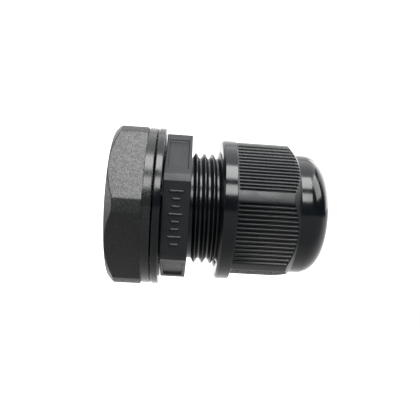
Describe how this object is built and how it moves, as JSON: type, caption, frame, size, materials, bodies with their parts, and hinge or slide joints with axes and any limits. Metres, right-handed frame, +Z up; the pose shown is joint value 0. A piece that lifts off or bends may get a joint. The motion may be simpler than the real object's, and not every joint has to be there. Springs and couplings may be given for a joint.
{
  "type": "cable gland",
  "caption": "Black nylon cable gland: hollow threaded body with hexagonal collar, flanged locknut, sealing washer, and ribbed dome cap over a claw insert and rubber seal.",
  "frame": {"origin": "on the common axis, in the sealing face of the hexagonal collar, where the gland sits against the panel", "axes": "+X along the common axis from the locknut to the domed cap, +Z up"},
  "size_m": [0.039, 0.0304, 0.029],
  "materials": {
    "body_nylon": "satin moulded PA66",
    "locknut_nylon": "fine spark-textured PA66",
    "washer_rubber": "smooth semi-gloss rubber",
    "cap_nylon": "polished PA66, satin between the ribs",
    "claw_nylon": "satin moulded PA66",
    "seal_rubber": "matt nitrile rubber"
  },
  "bodies": {
    "gland_body": {"gland_body": "body_nylon"},
    "clamping_insert": {"claw_ring": "claw_nylon", "rubber_seal": "seal_rubber"},
    "cap": {"cap": "cap_nylon"},
    "claw_finger_01": {"claw_finger_01": "claw_nylon"},
    "claw_finger_02": {"claw_finger_02": "claw_nylon"},
    "claw_finger_03": {"claw_finger_03": "claw_nylon"},
    "claw_finger_04": {"claw_finger_04": "claw_nylon"},
    "claw_finger_05": {"claw_finger_05": "claw_nylon"},
    "claw_finger_06": {"claw_finger_06": "claw_nylon"},
    "claw_finger_07": {"claw_finger_07": "claw_nylon"},
    "claw_finger_08": {"claw_finger_08": "claw_nylon"},
    "claw_finger_09": {"claw_finger_09": "claw_nylon"},
    "claw_finger_10": {"claw_finger_10": "claw_nylon"},
    "claw_finger_11": {"claw_finger_11": "claw_nylon"},
    "claw_finger_12": {"claw_finger_12": "claw_nylon"},
    "washer": {"sealing_washer": "washer_rubber"},
    "locknut": {"locknut": "locknut_nylon"}
  },
  "joints": [
    {"name": "cap_turn", "type": "hinge", "parent": "gland_body", "child": "clamping_insert", "pos_m": [0.0145, 0, 0], "axis": [1, 0, 0], "range_deg": [-1080, 1260]},
    {"name": "cap_travel", "type": "slide", "parent": "clamping_insert", "child": "cap", "axis": [1, 0, 0], "range_m": [-0.0045, 0.00525]},
    {"name": "claw_hinge_01", "type": "hinge", "parent": "clamping_insert", "child": "claw_finger_01", "pos_m": [0.01615, 0.0078, 0], "axis": [0, 0, -1], "range_deg": [-5.39, 4.62]},
    {"name": "claw_hinge_02", "type": "hinge", "parent": "clamping_insert", "child": "claw_finger_02", "pos_m": [0.01615, 0.00675, 0.0039], "axis": [0, 0.5, -0.866], "range_deg": [-5.39, 4.62]},
    {"name": "claw_hinge_03", "type": "hinge", "parent": "clamping_insert", "child": "claw_finger_03", "pos_m": [0.01615, 0.0039, 0.00675], "axis": [0, 0.866, -0.5], "range_deg": [-5.39, 4.62]},
    {"name": "claw_hinge_04", "type": "hinge", "parent": "clamping_insert", "child": "claw_finger_04", "pos_m": [0.01615, 0, 0.0078], "axis": [0, 1, 0], "range_deg": [-5.39, 4.62]},
    {"name": "claw_hinge_05", "type": "hinge", "parent": "clamping_insert", "child": "claw_finger_05", "pos_m": [0.01615, -0.0039, 0.00675], "axis": [0, 0.866, 0.5], "range_deg": [-5.39, 4.62]},
    {"name": "claw_hinge_06", "type": "hinge", "parent": "clamping_insert", "child": "claw_finger_06", "pos_m": [0.01615, -0.00675, 0.0039], "axis": [0, 0.5, 0.866], "range_deg": [-5.39, 4.62]},
    {"name": "claw_hinge_07", "type": "hinge", "parent": "clamping_insert", "child": "claw_finger_07", "pos_m": [0.01615, -0.0078, 0], "axis": [0, 0, 1], "range_deg": [-5.39, 4.62]},
    {"name": "claw_hinge_08", "type": "hinge", "parent": "clamping_insert", "child": "claw_finger_08", "pos_m": [0.01615, -0.00675, -0.0039], "axis": [0, -0.5, 0.866], "range_deg": [-5.39, 4.62]},
    {"name": "claw_hinge_09", "type": "hinge", "parent": "clamping_insert", "child": "claw_finger_09", "pos_m": [0.01615, -0.0039, -0.00675], "axis": [0, -0.866, 0.5], "range_deg": [-5.39, 4.62]},
    {"name": "claw_hinge_10", "type": "hinge", "parent": "clamping_insert", "child": "claw_finger_10", "pos_m": [0.01615, 0, -0.0078], "axis": [0, -1, 0], "range_deg": [-5.39, 4.62]},
    {"name": "claw_hinge_11", "type": "hinge", "parent": "clamping_insert", "child": "claw_finger_11", "pos_m": [0.01615, 0.0039, -0.00675], "axis": [0, -0.866, -0.5], "range_deg": [-5.39, 4.62]},
    {"name": "claw_hinge_12", "type": "hinge", "parent": "clamping_insert", "child": "claw_finger_12", "pos_m": [0.01615, 0.00675, -0.0039], "axis": [0, -0.5, -0.866], "range_deg": [-5.39, 4.62]},
    {"name": "locknut_turn", "type": "hinge", "parent": "gland_body", "child": "washer", "pos_m": [-0.0008, 0, 0], "axis": [1, 0, 0], "range_deg": [-1800, 0]},
    {"name": "locknut_travel", "type": "slide", "parent": "washer", "child": "locknut", "axis": [1, 0, 0], "range_m": [-0.0075, 0]}
  ],
  "couplings": [
    {"joint": "cap_travel", "follows": "cap_turn", "m_per_rad": 0.00023873},
    {"joint": "claw_hinge_01", "follows": "cap_turn", "ratio": -0.0042735},
    {"joint": "claw_hinge_02", "follows": "cap_turn", "ratio": -0.0042735},
    {"joint": "claw_hinge_03", "follows": "cap_turn", "ratio": -0.0042735},
    {"joint": "claw_hinge_04", "follows": "cap_turn", "ratio": -0.0042735},
    {"joint": "claw_hinge_05", "follows": "cap_turn", "ratio": -0.0042735},
    {"joint": "claw_hinge_06", "follows": "cap_turn", "ratio": -0.0042735},
    {"joint": "claw_hinge_07", "follows": "cap_turn", "ratio": -0.0042735},
    {"joint": "claw_hinge_08", "follows": "cap_turn", "ratio": -0.0042735},
    {"joint": "claw_hinge_09", "follows": "cap_turn", "ratio": -0.0042735},
    {"joint": "claw_hinge_10", "follows": "cap_turn", "ratio": -0.0042735},
    {"joint": "claw_hinge_11", "follows": "cap_turn", "ratio": -0.0042735},
    {"joint": "claw_hinge_12", "follows": "cap_turn", "ratio": -0.0042735},
    {"joint": "locknut_travel", "follows": "locknut_turn", "m_per_rad": 0.00023873}
  ]
}
